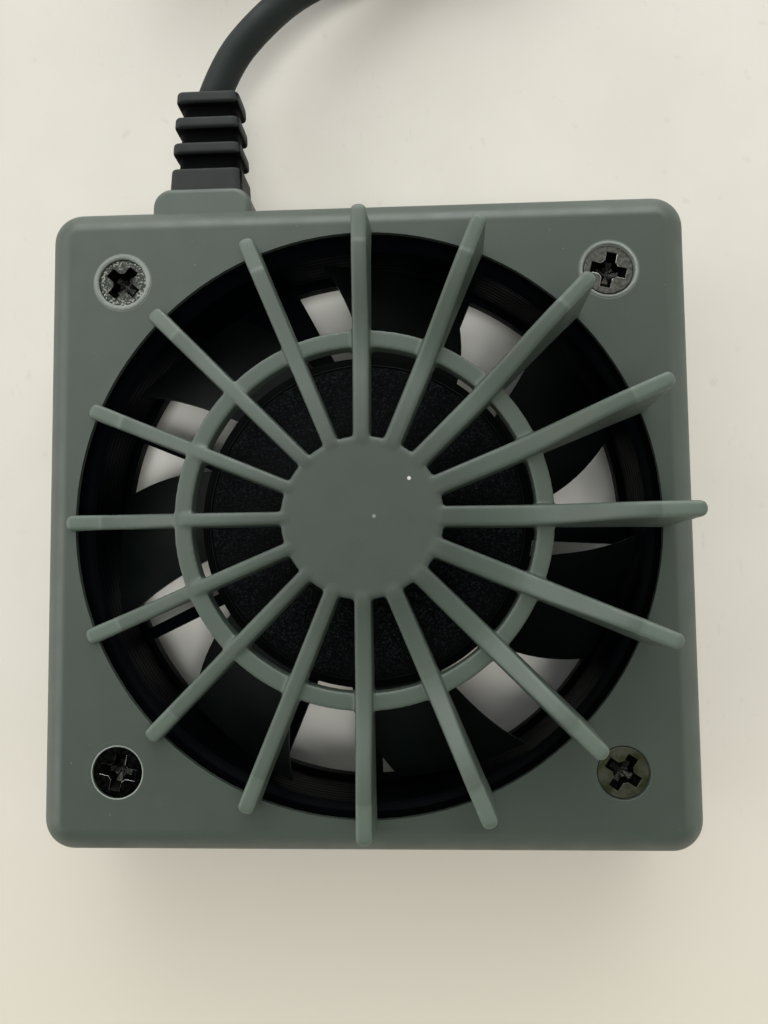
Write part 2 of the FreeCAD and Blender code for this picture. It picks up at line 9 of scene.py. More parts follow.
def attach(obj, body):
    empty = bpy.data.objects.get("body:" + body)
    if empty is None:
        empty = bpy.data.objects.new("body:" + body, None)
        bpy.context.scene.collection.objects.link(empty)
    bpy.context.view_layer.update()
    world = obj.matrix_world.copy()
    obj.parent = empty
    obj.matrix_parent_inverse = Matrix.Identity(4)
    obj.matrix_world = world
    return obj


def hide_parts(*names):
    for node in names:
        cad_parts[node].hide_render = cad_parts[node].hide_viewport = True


MM = 0.001
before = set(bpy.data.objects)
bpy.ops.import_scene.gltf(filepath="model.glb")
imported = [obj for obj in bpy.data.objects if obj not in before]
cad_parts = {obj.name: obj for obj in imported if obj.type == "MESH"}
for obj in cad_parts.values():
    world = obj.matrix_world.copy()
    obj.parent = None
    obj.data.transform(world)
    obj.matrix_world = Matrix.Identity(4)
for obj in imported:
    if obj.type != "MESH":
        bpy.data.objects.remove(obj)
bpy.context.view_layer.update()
scene = bpy.context.scene
scene.view_settings.view_transform = "Standard"

# Lengths are in millimetres in the row frame, unless a name or a comment says otherwise.
AXIS_Y = -1.4                 # the fan's axis stands at x = 0 and this y
Z_FACE = 17.0                 # the face of the case over the table
CASE_HALF, CASE_CORNER_R = 33.0, 3.2
SCREW_AT = 25                 # the four screws stand on a square of twice this side
SHARP = math.radians(35)      # edges that turn by more than this are broken


# ---- objects -------------------------------------------------------------------------------
def add(name, data, material, body="root"):
    """Puts a mesh or curve in the scene with its material and its CAD body."""
    obj = bpy.data.objects.new(name, data)
    scene.collection.objects.link(obj)
    data.materials.clear()
    data.materials.append(material)
    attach(obj, body)
    return obj


def smooth(mesh):
    mesh.polygons.foreach_set("use_smooth", [True] * len(mesh.polygons))


def apply_modifiers(obj):
    """The mesh as its modifiers leave it, in place of the mesh and modifiers."""
    depsgraph = bpy.context.evaluated_depsgraph_get()
    finished = bpy.data.meshes.new_from_object(obj.evaluated_get(depsgraph))
    obj.modifiers.clear()
    obj.data = finished


def break_edges(obj, width, segments):
    """A bevel along the sharp edges."""
    modifier = obj.modifiers.new("worn_edges", "BEVEL")
    modifier.width = width * MM
    modifier.segments = segments
    modifier.limit_method = "ANGLE"
    modifier.angle_limit = SHARP
    return modifier


def closed_mesh(name, verts, faces):
    """A mesh from points in metres, with every face turned outwards."""
    mesh = bpy.data.meshes.new(name)
    mesh.from_pydata(verts, [], faces)
    bm = bmesh.new()
    bm.from_mesh(mesh)
    bmesh.ops.recalc_face_normals(bm, faces=bm.faces)
    bm.to_mesh(mesh)
    bm.free()
    return mesh


def lathe(name, profile, segments, place, closed=False):
    """A surface of revolution about Z. The profile is (radius, height) pairs."""
    verts, faces = [], []
    count = len(profile)
    for k in range(segments):
        angle = 2 * math.pi * k / segments
        for radius, height in profile:
            verts.append(((place[0] + radius * math.cos(angle)) * MM,
                          (place[1] + radius * math.sin(angle)) * MM,
                          (place[2] + height) * MM))
    for k in range(segments):
        here, there = k * count, (k + 1) % segments * count
        for j in range(count if closed else count - 1):
            after = (j + 1) % count
            faces.append((here + j, there + j, there + after, here + after))
    mesh = bpy.data.meshes.new(name)
    mesh.from_pydata(verts, [], faces)
    mesh.update()
    return mesh


TUBE_SIDES = 8


def ring_mesh(name, radius, thickness, place, segments, squash=1.0):
    """A torus of that centre radius and tube radius, pressed flatter where squash is under 1."""
    turns = (2 * math.pi * k / TUBE_SIDES for k in range(TUBE_SIDES))
    profile = [(radius + thickness * math.cos(a), squash * thickness * math.sin(a)) for a in turns]
    return lathe(name, profile[::-1], segments, place, closed=True)


def moulded(name, nodes, voxel, rounds, keep, material, extra=(), also=()):
    """CAD nodes and extra meshes as one moulding: fused, with small fillets and rounded edges."""
    bm = bmesh.new()
    for node in nodes:
        bm.from_mesh(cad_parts[node].data)
    for mesh in extra:
        bm.from_mesh(mesh)
    bmesh.ops.remove_doubles(bm, verts=bm.verts, dist=1e-6)
    mesh = bpy.data.meshes.new(name)
    bm.to_mesh(mesh)
    bm.free()
    obj = add(name, mesh, material)
    remesh = obj.modifiers.new("remesh", "REMESH")
    remesh.mode = "VOXEL"
    remesh.voxel_size = voxel * MM
    soften = obj.modifiers.new("soften", "SMOOTH")
    soften.factor = 0.5
    soften.iterations = rounds
    thin_out = obj.modifiers.new("thin_out", "DECIMATE")
    thin_out.ratio = keep
    apply_modifiers(obj)
    smooth(obj.data)
    obj.data.materials.clear()
    obj.data.materials.append(material)
    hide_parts(*nodes, *also)
    return obj


# ---- materials -----------------------------------------------------------------------------
def maths(tree, operation, *values, vector=False):
    """A maths node's result. Its inputs are other nodes' results or plain values."""
    node = tree.nodes.new("ShaderNodeVectorMath" if vector else "ShaderNodeMath")
    node.operation = operation
    for socket, value in zip(node.inputs, values):
        if isinstance(value, bpy.types.NodeSocket):
            tree.links.new(value, socket)
        else:
            socket.default_value = value
    one_number = not vector or operation in ("LENGTH", "DOT_PRODUCT")
    return node.outputs["Value" if one_number else "Vector"]


class Finish:
    """A node material in object coordinates, so a texture's size is in real millimetres."""

    def __init__(self, name, colour, rough, metallic=0.0):
        self.material = bpy.data.materials.new(name)
        self.material.use_nodes = True
        self.tree = self.material.node_tree
        self.nodes, self.links = self.tree.nodes, self.tree.links
        self.bsdf = self.nodes["Principled BSDF"]
        self.bsdf.inputs["Base Color"].default_value = (*colour, 1)
        self.bsdf.inputs["Roughness"].default_value = rough
        self.bsdf.inputs["Metallic"].default_value = metallic
        self.coords = self.nodes.new("ShaderNodeTexCoord").outputs["Object"]
        self.tone = colour

    def noise(self, size, detail=3.0, stretch=(1, 1, 1)):
        mapping = self.nodes.new("ShaderNodeMapping")
        mapping.inputs["Scale"].default_value = stretch
        self.links.new(self.coords, mapping.inputs["Vector"])
        texture = self.nodes.new("ShaderNodeTexNoise")
        texture.inputs["Scale"].default_value = 1.0 / (size * MM)
        texture.inputs["Detail"].default_value = detail
        self.links.new(mapping.outputs["Vector"], texture.inputs["Vector"])
        return texture.outputs["Fac"]

    def ramp(self, value, low, high, out_low=0.0, out_high=1.0, shape="LINEAR"):
        node = self.nodes.new("ShaderNodeMapRange")
        node.interpolation_type = shape
        node.inputs["From Min"].default_value = low
        node.inputs["From Max"].default_value = high
        node.inputs["To Min"].default_value = out_low
        node.inputs["To Max"].default_value = out_high
        self.links.new(value, node.inputs["Value"])
        return node.outputs["Result"]

    def mix(self, share, first, second):
        node = self.nodes.new("ShaderNodeMix")
        node.data_type = "RGBA"
        self.links.new(share, node.inputs["Factor"])
        for socket, value in ((node.inputs["A"], first), (node.inputs["B"], second)):
            if isinstance(value, tuple):
                socket.default_value = (*value, 1)
            else:
                self.links.new(value, socket)
        return node.outputs["Result"]

    def math(self, operation, *values):
        return maths(self.tree, operation, *values)

    def vector_math(self, operation, *values):
        return maths(self.tree, operation, *values, vector=True)

    def distance(self, x, y):
        """Distance in metres from an upright line, for marks round a screw or a hub."""
        away = self.vector_math("SUBTRACT", self.coords, (x * MM, y * MM, 0))
        return self.vector_math("LENGTH", self.vector_math("MULTIPLY", away, (1, 1, 0)))

    def outside_square(self, half):
        """How far a point is outside an upright square round the fan's axis, in metres."""
        from_axis = self.vector_math("SUBTRACT", self.coords, (0, AXIS_Y * MM, 0))
        flat = self.vector_math("MULTIPLY", self.vector_math("ABSOLUTE", from_axis), (1, 1, 0))
        past = self.vector_math("SUBTRACT", flat, (half * MM, half * MM, 0))
        return self.vector_math("LENGTH", self.vector_math("MAXIMUM", past, (0, 0, 0)))

    def paint(self, tone):
        self.tone = tone
        self.links.new(tone, self.bsdf.inputs["Base Color"])

    def rough(self, value):
        self.links.new(value, self.bsdf.inputs["Roughness"])

    def bump(self, height, depth):
        """Adds a relief to the surface, over the reliefs that it already has."""
        node = self.nodes.new("ShaderNodeBump")
        node.inputs["Distance"].default_value = depth * MM
        node.inputs["Strength"].default_value = 1.0
        self.links.new(height, node.inputs["Height"])
        before = self.bsdf.inputs["Normal"]
        if before.is_linked:
            self.links.new(before.links[0].from_socket, node.inputs["Normal"])
        self.links.new(node.outputs["Normal"], before)


def shade(colour, by):
    return tuple(min(1.0, c * by) for c in colour)


def moulded_plastic(name, colour, rough, grain=0.12, grain_deep=0.008, gloss=0.5, swing=0.08):
    """Moulding plastic or rubber: slow mottling and a fine spark grain."""
    finish = Finish(name, colour, rough)
    finish.bsdf.inputs["Specular IOR Level"].default_value = gloss
    mottle = finish.ramp(finish.noise(9.0, 4.0), 0.35, 0.65)
    finish.paint(finish.mix(mottle, shade(colour, 1 - swing), shade(colour, 1 + swing)))
    finish.rough(finish.ramp(finish.noise(2.5, 3.0), 0.3, 0.7, rough - 0.05, rough + 0.07))
    finish.bump(finish.noise(grain, 2.0), grain_deep)
    return finish


def metal(name, dark, light, rough, grain, deep, share=(0.4, 0.6), metallic=1.0):
    """Metal with a mottled tone, uneven gloss and a grain of its own."""
    finish = Finish(name, light, rough, metallic)
    mottle = finish.ramp(finish.noise(grain, 3.0), *share)
    finish.paint(finish.mix(mottle, dark, light))
    gloss = finish.ramp(finish.noise(grain * 2, 3.0), 0.3, 0.7, rough - 0.1, rough + 0.15)
    finish.rough(gloss)
    finish.bump(finish.noise(grain * 1.3, 3.0), deep)
    return finish.material


CASE_COLOUR = (0.0435, 0.0570, 0.0450)
CASE_GRAIN = (0.46, 0.14, 0.010, 0.55, 0.03)        # the last five arguments of moulded_plastic
DUST_COLOUR = (0.40, 0.41, 0.37)
RAISED_COLOUR = (0.22, 0.25, 0.215)                 # whitened by the driver, round a screw
RAISED_R = (3.12, 2.95)
BAND_W, BAND_EDGE, BAND_FALL = 2.5, 0.45, 1.9       # the band along the face's edges: bumped to a softer slope and painted lighter as a highlight
BAND_HIGHLIGHT_SHADE, BAND_DEPTH = 1.27, 0.40


def case_finish():
    """Soft matte grey-green, whitened where the two upper screws have raised the plastic, with a
    painted highlight along the face's edges.
    """
    finish = moulded_plastic("case_plastic", CASE_COLOUR, *CASE_GRAIN)
    dust = finish.ramp(finish.noise(0.40, 1.0), 0.80, 0.84, 0.0, 0.3)
    tone = finish.mix(dust, finish.tone, DUST_COLOUR)
    for x, y, white in ((-SCREW_AT, SCREW_AT, 0.7), (SCREW_AT, SCREW_AT, 0.5)):
        from_screw = finish.distance(x, y + AXIS_Y)
        raised = finish.ramp(from_screw, RAISED_R[0] * MM, RAISED_R[1] * MM, 0.0, white)
        tone = finish.mix(raised, tone, RAISED_COLOUR)
    outside = finish.outside_square(CASE_HALF - CASE_CORNER_R)
    start = CASE_CORNER_R - BAND_W
    # the edge band is painted lighter, as the highlight it catches from the low light
    edge = finish.ramp(outside, start * MM, (start + BAND_EDGE) * MM)
    finish.paint(finish.mix(edge, tone, shade(CASE_COLOUR, BAND_HIGHLIGHT_SHADE)))
    fall = finish.ramp(outside, start * MM, (start + BAND_FALL) * MM, 1.0, 0.0, "SMOOTHSTEP")
    finish.bump(fall, BAND_DEPTH)
    return finish.material


# painted light: the fins lighter outwards from these radii, as their tops catch the light
FIN_LIT_FROM, FIN_LIT_TO, FIN_LIT_SHADE = 9.0, 14.0, 1.42
# painted light: the fins' flat ends lighter still, as they face the light
TIP_FROM, TIP_TO, TIP_SHADE = 26.6, 26.8, 1.85
# a thin painted highlight across each fin where its crest turns
CREST_R, CREST_HALF, CREST_CORE, CREST_SHADE = 26.75, 0.30, 0.08, 3.0
DISC_SPECKS = ((4.58, 2.27, 0.85), (1.19, -1.32, 0.25))      # x, y and whiteness
SPECK_R, SPECK_COLOUR = (0.22, 0.12), (0.62, 0.62, 0.57)


def guard_finish():
    """The guard is the same plastic, painted lighter on its fins and most at their ends as the
    light their tops catch, with a painted highlight across each fin's crest.
    """
    finish = moulded_plastic("guard_plastic", CASE_COLOUR, *CASE_GRAIN)
    radius = finish.distance(0, AXIS_Y)
    fin_lit = finish.ramp(radius, FIN_LIT_FROM * MM, FIN_LIT_TO * MM)
    tone = finish.mix(fin_lit, finish.tone, shade(CASE_COLOUR, FIN_LIT_SHADE))
    at_tip = finish.ramp(radius, TIP_FROM * MM, TIP_TO * MM)
    tone = finish.mix(at_tip, tone, shade(CASE_COLOUR, TIP_SHADE))
    # the painted highlight across the crest
    from_crest = finish.math("ABSOLUTE", finish.math("SUBTRACT", radius, CREST_R * MM))
    crest_highlight = finish.ramp(from_crest, CREST_HALF * MM, CREST_CORE * MM, 0.0, 0.13)
    tone = finish.mix(crest_highlight, tone, shade(CASE_COLOUR, CREST_SHADE))
    for x, y, white in DISC_SPECKS:
        from_speck = finish.distance(x, y)
        speck = finish.ramp(from_speck, SPECK_R[0] * MM, SPECK_R[1] * MM, 0.0, white)
        tone = finish.mix(speck, tone, SPECK_COLOUR)
    finish.paint(tone)
    return finish.material


def hub_finish():
    """Black plastic with the coarse spark-eroded texture of a rotor hub."""
    finish = moulded_plastic("hub_plastic", (0.0016, 0.0024, 0.0022), 0.5, 0.20, 0.05, 0.10)
    grain = finish.ramp(finish.noise(0.17, 2.0), 0.50, 0.72)
    finish.paint(finish.mix(grain, (0.0006, 0.0011, 0.0012), (0.0125, 0.0170, 0.0175)))
    return finish.material


TURNED_PITCH = 0.9


def bore_finish():
    """Black plastic with fine turned lines round the bore."""
    finish = moulded_plastic("frame_plastic", (0.0010, 0.0016, 0.0022), 0.5, 0.12, 0.006, 0.04)
    wave = finish.nodes.new("ShaderNodeTexWave")
    wave.bands_direction = "Z"
    wave.inputs["Scale"].default_value = 0.32 / (TURNED_PITCH * MM)
    wave.inputs["Distortion"].default_value = 0.4
    finish.links.new(finish.coords, wave.inputs["Vector"])
    finish.bump(wave.outputs["Fac"], 0.03)
    return finish.material


def pitted_finish():
    """Steel worn and pitted round the rim of the upper left screw, plainer in its middle."""
    finish = Finish("screw_worn", (0.2, 0.2, 0.18), 0.42, 1.0)
    grain = finish.ramp(finish.noise(0.24, 2.0), 0.50, 0.66)
    from_screw = finish.distance(-SCREW_AT, SCREW_AT + AXIS_Y)
    rim = finish.ramp(from_screw, 1.2 * MM, 2.2 * MM, 0.12, 0.9)
    pitted = finish.math("MULTIPLY", grain, rim)
    finish.paint(finish.mix(pitted, (0.042, 0.046, 0.039), (0.33, 0.34, 0.30)))
    finish.bump(finish.noise(0.3, 2.0), 0.05)
    return finish.material


def plastic(*description):
    return moulded_plastic(*description).material


CASE = case_finish()
GUARD = guard_finish()
FRAME_BLACK = bore_finish()
HUB_BLACK = hub_finish()
SCREW_TL = pitted_finish()

# name, colour, roughness, then size and depth of the grain, gloss and swing of the tone
CASE_WORN = plastic("case_worn", (0.21, 0.235, 0.205), 0.6, 0.16, 0.06, 0.5, 0.3)
FAN_BLACK = plastic("fan_plastic", (0.0012, 0.0028, 0.0020), 0.42, 0.12, 0.010, 0.15)
# the hub's side band, painted darker as the shade on it
HUB_SIDE_SHADE = plastic("hub_edge", (0.0008, 0.0012, 0.0012), 0.5, 0.12, 0.010, 0.06)
RUBBER = plastic("soft_rubber", (0.0125, 0.0155, 0.0140), 0.62, 0.2, 0.012, 0.35, 0.15)
# painted shade for the bottoms of the relief's grooves
GROOVE_SHADE = plastic("rubber_groove", (0.0010, 0.0012, 0.0012), 0.7, 0.2, 0.012, 0.08)
CORD_PVC = plastic("cord_pvc", (0.0095, 0.0135, 0.012), 0.60, 0.3, 0.010, 0.22, 0.12)
NYLON = plastic("nylon", (0.72, 0.71, 0.64), 0.5, 0.2, 0.005)
BOARD = plastic("circuit_board", (0.015, 0.085, 0.035), 0.4, 0.3, 0.004)
CHIP = plastic("chip", (0.014, 0.014, 0.014), 0.5, 0.1, 0.006)
WIRE = plastic("wire_insulation", (0.35, 0.02, 0.02), 0.4, 0.2, 0.004)
PLUG_WHITE = plastic("plug_tongue", (0.78, 0.78, 0.75), 0.45, 0.2, 0.003)
TIE = plastic("tie_fabric", (0.016, 0.016, 0.018), 0.85, 0.4, 0.06, 0.3, 0.2)

# name, darkest and lightest colour, roughness, size and depth of the grain, share of light
ZINC = metal("zinc_plate", (0.42, 0.41, 0.37), (0.58, 0.57, 0.53), 0.32, 1.2, 0.004)
SCREW_TR = metal("screw_grey", (0.085, 0.084, 0.072), (0.145, 0.142, 0.125), 0.45, 0.35, 0.03)
SCREW_BR = metal("screw_olive", (0.085, 0.098, 0.048), (0.15, 0.152, 0.110), 0.50, 1.1, 0.03)
SCREW_BL = metal("screw_black", (0.006, 0.007, 0.006), (0.014, 0.016, 0.014), 0.24, 0.4, 0.01)
# bright recess edges: worn metal, in patches painted light as the highlights the bevels catch
EDGE_WEAR_AND_HIGHLIGHT = metal("screw_edge_wear_and_highlight", (0.02, 0.02, 0.02), (0.75, 0.75, 0.72), 0.32, 0.9, 0.01,
                  (0.40, 0.50))
BLACK_EDGE_HIGHLIGHT = metal("screw_black_edge_highlight", (0.01, 0.01, 0.01), (0.70, 0.70, 0.67), 0.30, 1.3, 0.01,
                   (0.36, 0.48))
# painted shade: the walls of a screw's recess, near black
RECESS = metal("screw_recess", (0.004, 0.004, 0.004), (0.010, 0.010, 0.009), 0.55, 0.3, 0.02)
RECESS_TIP = metal("screw_recess_tip", (0.02, 0.02, 0.018), (0.11, 0.107, 0.096), 0.45, 0.12, 0.05)
FERRITE = metal("ferrite", (0.025, 0.025, 0.025), (0.04, 0.04, 0.04), 0.6, 0.3, 0.02, metallic=0.2)
BRONZE = metal("sintered_bronze", (0.38, 0.25, 0.12), (0.50, 0.34, 0.17), 0.45, 0.15, 0.01)
LAMINATION = metal("lamination", (0.20, 0.20, 0.20), (0.34, 0.34, 0.33), 0.45, 0.4, 0.02)
COPPER = metal("copper_wire", (0.50, 0.19, 0.08), (0.70, 0.30, 0.13), 0.35, 0.5, 0.02)
LABEL = metal("label_foil", (0.52, 0.53, 0.52), (0.62, 0.63, 0.62), 0.35, 0.8, 0.004, metallic=0.6)
PLUG_METAL = metal("plug_nickel", (0.52, 0.52, 0.50), (0.64, 0.64, 0.62), 0.26, 1.5, 0.002)
GOLD = metal("contact_gold", (0.68, 0.46, 0.17), (0.80, 0.57, 0.24), 0.28, 0.5, 0.002)

for node, material in {
    "front_cover": CASE, "rear_cover": CASE,
    "rubber_feet": RUBBER, "cover_nuts": ZINC, "rotor_cup": ZINC, "impeller": FAN_BLACK,
    "magnet_ring": FERRITE, "shaft": ZINC, "retaining_ring": NYLON, "sleeve_bearing": BRONZE,
    "oil_washer": NYLON, "thrust_pad": NYLON, "stator_core": LAMINATION, "stator_bobbin": NYLON,
    "stator_coils": COPPER, "circuit_board": BOARD, "driver_chip": CHIP, "lead_wires": WIRE,
    "motor_label": LABEL, "plug_body": RUBBER, "plug_shell": PLUG_METAL,
    "plug_tongue": PLUG_WHITE, "plug_contacts": GOLD, "fan_frame": FRAME_BLACK,
}.items():
    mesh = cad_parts[node].data
    mesh.materials.clear()
    mesh.materials.append(material)


# ---- guard ---------------------------------------------------------------------------------
# Heights here are over the face.
DISC_R, DISC_TOP, DISC_LOW = 7.9, 4.0, 1.6
RING_R, RING_TOP, RING_LOW = 17.7, 2.8, 0.8
INLET_R = 29.6
FIN_DOWN_R = INLET_R - 0.4    # beyond it a fin goes down into the face
FIN_COUNT, FIN_END_R = 16, 30.5
FIN_S_R, FIN_RIDGE_R = 14.5, 26.6                   # the upper edge is an S between these
S_SAG, S_HOLD, S_DIP, S_LATE, S_STEPS = 0.6, 0.42, 0.4, 0.15, 14
FIN_MID_RISE, FIN_LEAST_RISE, FIN_TILT = 5.1, 0.7, 5.2 / 30.2      # they rise towards +X
FIN_T, FIN_T_SWING, FIN_DRAFT = 1.96, 0.35, 0.085   # the taller fins are thicker
FIN_ROUND, ROUND_STEPS = 0.30, 5
FOOT_IN, FOOT_UP = 0.15, 0.12                       # chamfer of the lower edges
END_ROUND = 0.6
FIN_ROOT = ((6.2, -0.25), (6.9, -0.02), (7.6, 0.06), (8.3, 0.04))  # radius, height over the disc
FIN_END = ((FIN_RIDGE_R + 0.35, 0.08), (FIN_RIDGE_R + 0.7, 0.06), (FIN_END_R - 1.2, 0.0),
           (FIN_END_R - 0.5, 0.02), (FIN_END_R - 0.25, 0.12), (FIN_END_R - 0.08, 0.3),
           (FIN_END_R, 0.5))                        # radius, depth under the fins' plane


def fin_rise(radius, angle):
    """Height of the sloping plane that holds the fins' upper ends."""
    return max(FIN_LEAST_RISE, FIN_MID_RISE + FIN_TILT * radius * math.cos(angle))


def fin_profile(angle):
    """(radius, lowest, highest) along a fin."""
    ridge = fin_rise(FIN_RIDGE_R, angle)
    start = DISC_TOP - (DISC_TOP - RING_TOP) * (FIN_S_R - DISC_R) / (RING_R - DISC_R) * S_SAG
    hold = (FIN_RIDGE_R - FIN_S_R) * S_HOLD
    poles = [Vector((FIN_S_R, start)), Vector((FIN_S_R + hold, start - S_DIP)),
             Vector((FIN_RIDGE_R - hold, ridge - S_LATE * max(0, ridge - start))),
             Vector((FIN_RIDGE_R, ridge))]
    tops = [(radius, DISC_TOP + over) for radius, over in FIN_ROOT]
    for k in range(S_STEPS + 1):
        t = k / S_STEPS
        point = (poles[0] * (1 - t) ** 3 + poles[1] * 3 * t * (1 - t) ** 2
                 + poles[2] * 3 * t * t * (1 - t) + poles[3] * t ** 3)
        tops.append((point[0], point[1]))
    tops += [(radius, fin_rise(radius, angle) - drop) for radius, drop in FIN_END]
    for radius, top in tops:
        if radius < RING_R:
            low = DISC_LOW + (RING_LOW - DISC_LOW) * (radius - DISC_R) / (RING_R - DISC_R)
        elif radius > FIN_DOWN_R:
            low = -0.4
        else:
            low = RING_LOW * max(0, 1 - (radius - RING_R) / (FIN_DOWN_R - RING_R))
        yield radius, low, max(top, low + 0.3)


def fin_mesh(angle):
    """A fin with rounded upper edges and a rounded end, drafted on both sides."""
    root = FIN_T + FIN_T_SWING * math.cos(angle)
    verts, faces = [], []
    sections = list(fin_profile(angle))
    for radius, low, top in sections:
        near_end = max(0.0, 1 - (FIN_END_R - radius) / END_ROUND)
        slim = math.sqrt(max(0.25, 1 - near_end ** 2))
        half_low = (root - FIN_DRAFT * low) / 2 * slim
        half_top = (root - FIN_DRAFT * top) / 2 * slim
        bend = min(FIN_ROUND, half_top * 0.8, (top - low) * 0.45)
        side = [(half_low - FOOT_IN, low), (half_low, low + FOOT_UP)]
        for k in range(ROUND_STEPS + 1):
            turn = math.radians(90 / ROUND_STEPS * k)
            side.append((half_top - bend + bend * math.cos(turn),
                         top - bend + bend * math.sin(turn)))
        for x, z in side + [(-x, z) for x, z in reversed(side)]:
            verts.append(((radius * math.cos(angle) - x * math.sin(angle)) * MM,
                          (AXIS_Y + radius * math.sin(angle) + x * math.cos(angle)) * MM,
                          (Z_FACE + z) * MM))
    count = len(verts) // len(sections)
    for k in range(len(sections) - 1):
        here, there = k * count, (k + 1) * count
        for j in range(count):
            after = (j + 1) % count
            faces.append((here + j, here + after, there + after, there + j))
    faces.append(tuple(range(count))[::-1])
    faces.append(tuple(range(len(verts) - count, len(verts))))
    return closed_mesh("fin", verts, faces)


moulded("guard_moulding", ["guard_disc", "guard_ring"], 0.17, 3, 0.5, GUARD,
        extra=[fin_mesh(2 * math.pi * k / FIN_COUNT) for k in range(FIN_COUNT)],
        also=["guard_fins"])
for node in ("front_cover", "rear_cover"):
    break_edges(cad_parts[node], 0.12, 2).harden_normals = True


# ---- strain relief -------------------------------------------------------------------------
RELIEF_X = -17.2
RIB_REACH = 1.7               # a groove is judged by what stands this near along the cord
GROOVE_DEEP, GROOVE_IN = 0.35, 0.15


def darken_grooves(mesh):
    """The bottoms of the grooves between the ribs are painted near black, as the shade in them."""
    mesh.materials.append(GROOVE_SHADE)
    points = np.empty(len(mesh.vertices) * 3)
    mesh.vertices.foreach_get("co", points)
    points = points.reshape(-1, 3) / MM
    for polygon in mesh.polygons:
        place = polygon.center / MM
        near = points[np.abs(points[:, 1] - place.y) < RIB_REACH]
        half_width = np.abs(near[:, 0] - RELIEF_X).max()
        sunk = place.z < near[:, 2].max() - GROOVE_DEEP
        if sunk and abs(place.x - RELIEF_X) < half_width - GROOVE_IN:
            polygon.material_index = 1


relief = moulded("ribbed_relief", ["strain_relief"], 0.11, 16, 0.4, RUBBER)
darken_grooves(relief.data)


# ---- marks round the screws ----------------------------------------------------------------
ROUND_SEGMENTS = 72


def screw_lip(name, x, y, radius, thickness, ragged):
    """The lighter lip of plastic that a driver has pushed up round a screw."""
    rng = random.Random(name)
    place = (x, y + AXIS_Y, Z_FACE)
    mesh = ring_mesh(name, radius, thickness, place, ROUND_SEGMENTS, 0.55)
    for k, vertex in enumerate(mesh.vertices):
        if k % TUBE_SIDES == 0:
            sway = 1 + ragged * rng.uniform(-1, 1)
        outward = Vector((vertex.co.x / MM - x, vertex.co.y / MM - y - AXIS_Y, 0))
        vertex.co += outward * (sway - 1) * MM
    smooth(mesh)
    add(name, mesh, CASE_WORN)


def sink_rim(name, x, y):
    """Where the head fills its hole, the face runs on to the edge of the head."""
    profile = [(2.60, -0.4), (2.60, -0.05), (2.66, 0.0), (3.0, 0.006), (3.12, 0.0), (3.12, -0.4)]
    mesh = lathe(name, profile, ROUND_SEGMENTS, (x, y + AXIS_Y, Z_FACE), closed=True)
    add(name, mesh, CASE)


screw_lip("screw_lip_tl", -SCREW_AT, SCREW_AT, 2.72, 0.26, 0.014)
screw_lip("screw_lip_tr", SCREW_AT, SCREW_AT, 2.78, 0.15, 0.006)
screw_lip("screw_lip_bl", -SCREW_AT, -SCREW_AT, 2.60, 0.07, 0.004)
sink_rim("sink_rim_br", SCREW_AT, -SCREW_AT)
sink_rim("sink_rim_bl", -SCREW_AT, -SCREW_AT)


# ---- rotor hub -----------------------------------------------------------------------------
HUB_TOP_Z, HUB_R, HUB_RIM_H = 14.2, 17.4, 1.6
BEAD_R, BEAD_T = 16.35, 0.075


def hub_faces():
    """The flat of the hub takes the coarse texture, the band round its side is painted darker as
    shade, and a fine bead runs near its edge.
    """
    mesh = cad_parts["impeller"].data
    mesh.materials.append(HUB_BLACK)
    mesh.materials.append(HUB_SIDE_SHADE)
    for polygon in mesh.polygons:
        radius = math.hypot(polygon.center.x / MM, polygon.center.y / MM - AXIS_Y)
        if polygon.center.z > (HUB_TOP_Z - 0.05) * MM and polygon.normal.z > 0.9:
            polygon.material_index = 1
        elif polygon.center.z > (HUB_TOP_Z - HUB_RIM_H) * MM and radius < HUB_R:
            polygon.material_index = 2
    bead = ring_mesh("hub_bead", BEAD_R, BEAD_T, (0, AXIS_Y, HUB_TOP_Z), 180)
    smooth(bead)
    add("hub_bead", bead, FAN_BLACK, "rotor")


hub_faces()


# ---- screws --------------------------------------------------------------------------------
SCREW_TOP = Z_FACE - 0.16
SCREW_TIP = 2.1 - SCREW_TOP   # heights of the screw are from the top of its head
HEAD_R, HEAD_H, SHANK_R = 2.5, 1.14, 1.45
AT_AXIS = 0.0005              # the lathe's end points, merged afterwards
ARM_HALF, ARM_LENGTH, ARM_CORNER = 0.54, 1.82, 0.36
RECESS_LEVELS = ((0.3, 1.0), (0.0, 1.0), (-1.0, 0.62), (-1.35, 0.15))      # height, scale
EDGE_W = 0.055
RECESS_R, RECESS_DEEP, TIP_DEEP = 1.8, 1.5, 0.95


def cross_cutter(turn, place):
    """A cross recess: four tapering arms that meet in a diamond, and a short tip."""
    near = ARM_HALF + ARM_CORNER
    arm = ((ARM_LENGTH, -ARM_HALF), (ARM_LENGTH, ARM_HALF), (near, ARM_HALF), (ARM_HALF, near))
    outline = []
    for k in range(4):
        angle = math.radians(turn + 90 * k)
        for x, y in arm:
            outline.append((x * math.cos(angle) - y * math.sin(angle),
                            x * math.sin(angle) + y * math.cos(angle)))
    verts = [((place[0] + x * scale) * MM, (place[1] + y * scale) * MM, (place[2] + z) * MM)
             for z, scale in RECESS_LEVELS for x, y in outline]
    count = len(outline)
    last = len(verts) - count
    faces = [tuple(range(count))[::-1], tuple(range(last, len(verts)))]
    for low in range(0, last, count):
        for k in range(count):
            after = (k + 1) % count
            faces.append((low + k, low + after, low + count + after, low + count + k))
    return closed_mesh("cutter", verts, faces)


